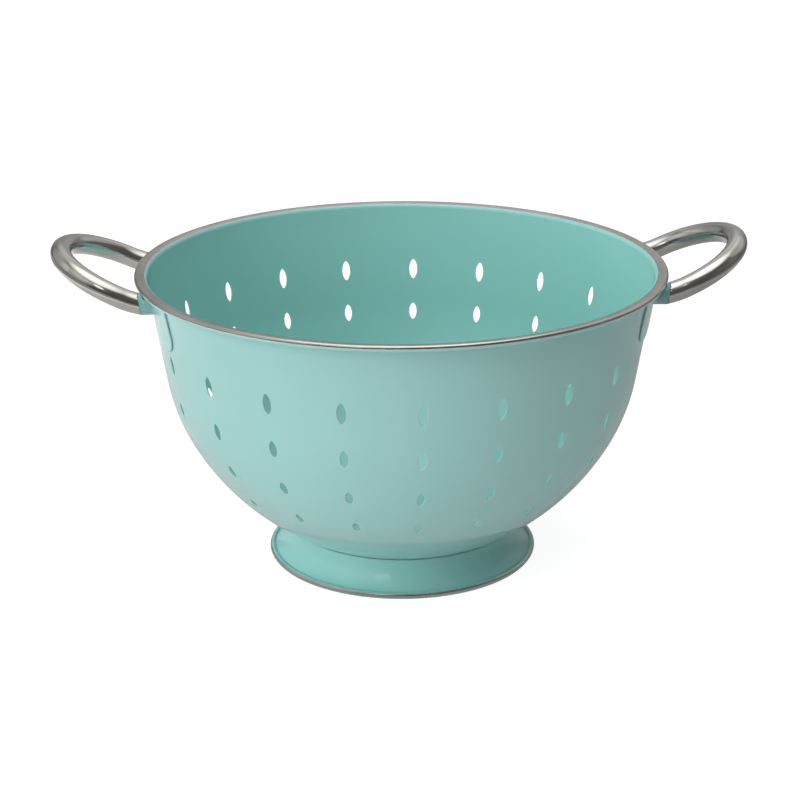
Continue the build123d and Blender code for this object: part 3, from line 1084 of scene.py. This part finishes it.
def white_floor():
    """Pale floor that the camera sees as white, with the object's soft shadow."""
    half = FLOOR_HALF
    floor = flat_object(
        "floor", [(-half, -half, 0), (half, -half, 0), (half, half, 0), (-half, half, 0)],
        [(0, 1, 2, 3)])
    material = bpy.data.materials.new("pale_floor")
    material.use_nodes = True
    tree = material.node_tree
    tree.nodes.remove(tree.nodes["Principled BSDF"])
    ray = add(tree, "ShaderNodeLightPath").outputs
    place = own_place(tree)
    away = ordered(tree, "ShaderNodeVectorMath", place, operation="LENGTH").outputs["Value"]
    across = add(tree, "ShaderNodeSeparateXYZ", Vector=place).outputs["X"]
    ring = product(tree, fade(tree, away, *RING_START, CLOSE_FLOOR, LIT_FLOOR),
                   fade(tree, away, *RING_END, 1.0, FAR_FLOOR))
    gloss = product(tree, ring, fade(tree, across, *SIDES, LEFT_SHARE, RIGHT_SHARE))
    white = fade(tree, away, *WHITENING, NEAR_WHITE, FAR_WHITE)
    level = mixed(tree, ray["Is Camera Ray"], gloss, white, "FLOAT")
    # Under the bowl's foot little light comes in, so the floor there stays dim.
    edge = FOOT_RADIUS - FOOT_BEAD
    dim = fade(tree, away, edge * MM, (edge + FOOT_BEAD / 2) * MM, UNDER_FOOT, 1.0)
    glow = add(tree, "ShaderNodeEmission", Strength=product(tree, dim, level))
    plain, thin = (
        add(tree, "ShaderNodeBsdfDiffuse", Color=(tone, tone, tone, 1)) for tone in FLOOR_TONES)
    seen = ordered(tree, "ShaderNodeAddShader", thin.outputs[0], glow.outputs[0])
    either = ordered(tree, "ShaderNodeMath", ray["Is Camera Ray"], ray["Is Glossy Ray"],
                     operation="MAXIMUM")
    choose = ordered(tree, "ShaderNodeMixShader", either.outputs[0], plain.outputs[0],
                     seen.outputs[0])
    feed(tree, choose.outputs[0], tree.nodes["Material Output"].inputs["Surface"])
    floor.data.materials.append(material)


# Soft glows of the room, as gloss and metal show them: turn from the front towards the
# right, height, where the glow starts to fade and where it ends, in degrees, and strength
GLOWS = (
    (-120, 20, 26, 30, 0.22),
    (-108, 14, 0, 38, 0.12),
    (-78, 24, 0, 38, 0.36),
    (72, 14, 0, 38, 0.04),
    (108, 14, 0, 38, 0.055),
    (144, 14, 0, 38, 0.16),
    (180, 14, 0, 38, 0.22),
    (-120, 55, 0, 40, 0.11),
    (-60, 55, 0, 40, 0.22),
    (0, 55, 0, 40, 0.05),
    (126, 38, 24, 27, 0.26),
    (120, 55, 0, 40, 0.1),
    (180, 55, 0, 40, 0.53),
    (-60, 32, 0, 25, 0.22),
    (-30, 36, 0, 22, 0.25),
    (0, 86, 8, 40, 1.7),
    (-24, 36, 7, 9, 1.4),
)
ROOM = 0.11
FILL = 0.02
FILL_TONE = (0.95, 0.97, 1.0, 1)
WHITE = (1, 1, 1, 1)

# Lamps: name, turn and height in degrees as above, size in metres and power in watts
LAMPS = (
    ("key", -45, 24, 1.5, 18.2),
    ("side", -65, 20, 1.1, 5.3),
    ("top", 0, 75, 1.4, 19.5),
    ("behind_left", -140, 25, 1.2, 17.0),
    ("behind_right", 160, 35, 1.2, 3.0),
    ("right", 100, 35, 1.1, 4.2),
    ("front_right", 20, 12, 1.0, 0.9),
)
LAMP_DISTANCE = 1.7
LAMP_MIDDLE = 0.05
LAMP_TARGET = 0.08

# Camera, as fitted to the rim, the foot and the outline: degrees, millimetres and pixels
VIEW_TIP = 19.61
VIEW_ROLL = -0.255
VIEW_TURN = -3.15
VIEW_AIM = (-0.89, 0, 78.26)
VIEW_DISTANCE = 993.0
VIEW_FOCAL = 1978.37
PICTURE_WIDTH = 800
SENSOR_WIDTH = 36.0


def direction(turn, height):
    """Way that is turned from the front towards the right, and raised, by these degrees."""
    turn, height = math.radians(turn), math.radians(height)
    level = math.cos(height)
    return Vector((math.sin(turn) * level, -math.cos(turn) * level, math.sin(height)))


def studio_world():
    """White to the camera, a plain fill for the object, and a room of glows for its gloss."""
    world = bpy.data.worlds.new("studio")
    bpy.context.scene.world = world
    world.use_nodes = True
    tree = world.node_tree
    tree.nodes.clear()
    ray = add(tree, "ShaderNodeLightPath").outputs
    way = add(tree, "ShaderNodeTexCoord").outputs["Generated"]
    total = ROOM
    for turn, height, full, reach, strength in GLOWS:
        near = ordered(tree, "ShaderNodeVectorMath", way, direction(turn, height),
                       operation="DOT_PRODUCT").outputs["Value"]
        lit = fade(tree, near, math.cos(math.radians(reach)), math.cos(math.radians(full)),
                   0.0, strength)
        total = ordered(tree, "ShaderNodeMath", lit, total, operation="ADD").outputs[0]
    fill, shine, white = (
        add(tree, "ShaderNodeBackground", Color=tone, Strength=strength).outputs[0]
        for tone, strength in ((FILL_TONE, FILL), (WHITE, total), (WHITE, 1.0)))
    glossy = ordered(tree, "ShaderNodeMixShader", ray["Is Glossy Ray"], fill, shine)
    seen = ordered(tree, "ShaderNodeMixShader", ray["Is Camera Ray"], glossy.outputs[0], white)
    add(tree, "ShaderNodeOutputWorld", Surface=seen.outputs[0])


def soft_box(name, turn, height, size, power):
    """Square lamp for the plain light; what gloss shows of the room is in the world."""
    lamp = bpy.data.lights.new(name, "AREA")
    lamp.shape = "SQUARE"
    lamp.size = size
    lamp.energy = power
    lamp_object = bpy.data.objects.new(name, lamp)
    lamp_object.location = direction(turn, height) * LAMP_DISTANCE + Vector((0, 0, LAMP_MIDDLE))
    aim = Vector((0, 0, LAMP_TARGET)) - lamp_object.location
    lamp_object.rotation_euler = aim.to_track_quat("-Z", "Y").to_euler()
    lamp_object.visible_glossy = False
    bpy.context.scene.collection.objects.link(lamp_object)


def camera():
    """The photograph's view."""
    tip = math.radians(VIEW_TIP)
    roll = math.radians(VIEW_ROLL)
    turn = Matrix.Rotation(math.radians(VIEW_TURN), 3, "Z")
    forward = Vector((0, math.cos(tip), -math.sin(tip)))
    right = Vector((1, 0, 0))
    up = Vector((0, math.sin(tip), math.cos(tip)))
    side = right * math.cos(roll) + up * math.sin(roll)
    top = up * math.cos(roll) - right * math.sin(roll)
    place = Vector(VIEW_AIM) - forward * VIEW_DISTANCE
    columns = [turn @ v for v in (side, top, -forward)]
    matrix = Matrix([[c[row] for c in columns] for row in range(3)]).to_4x4()
    matrix.translation = turn @ place * MM
    view = bpy.data.cameras.new("photo_view")
    view.sensor_width = SENSOR_WIDTH
    view.lens = SENSOR_WIDTH * VIEW_FOCAL / PICTURE_WIDTH
    view.clip_start = 0.05
    view.clip_end = 50
    holder = bpy.data.objects.new("photo_view", view)
    holder.matrix_world = matrix
    bpy.context.scene.collection.objects.link(holder)
    bpy.context.scene.camera = holder


white_floor()
studio_world()
for lamp_values in LAMPS:
    soft_box(*lamp_values)
camera()
bpy.context.scene.view_settings.view_transform = "Standard"
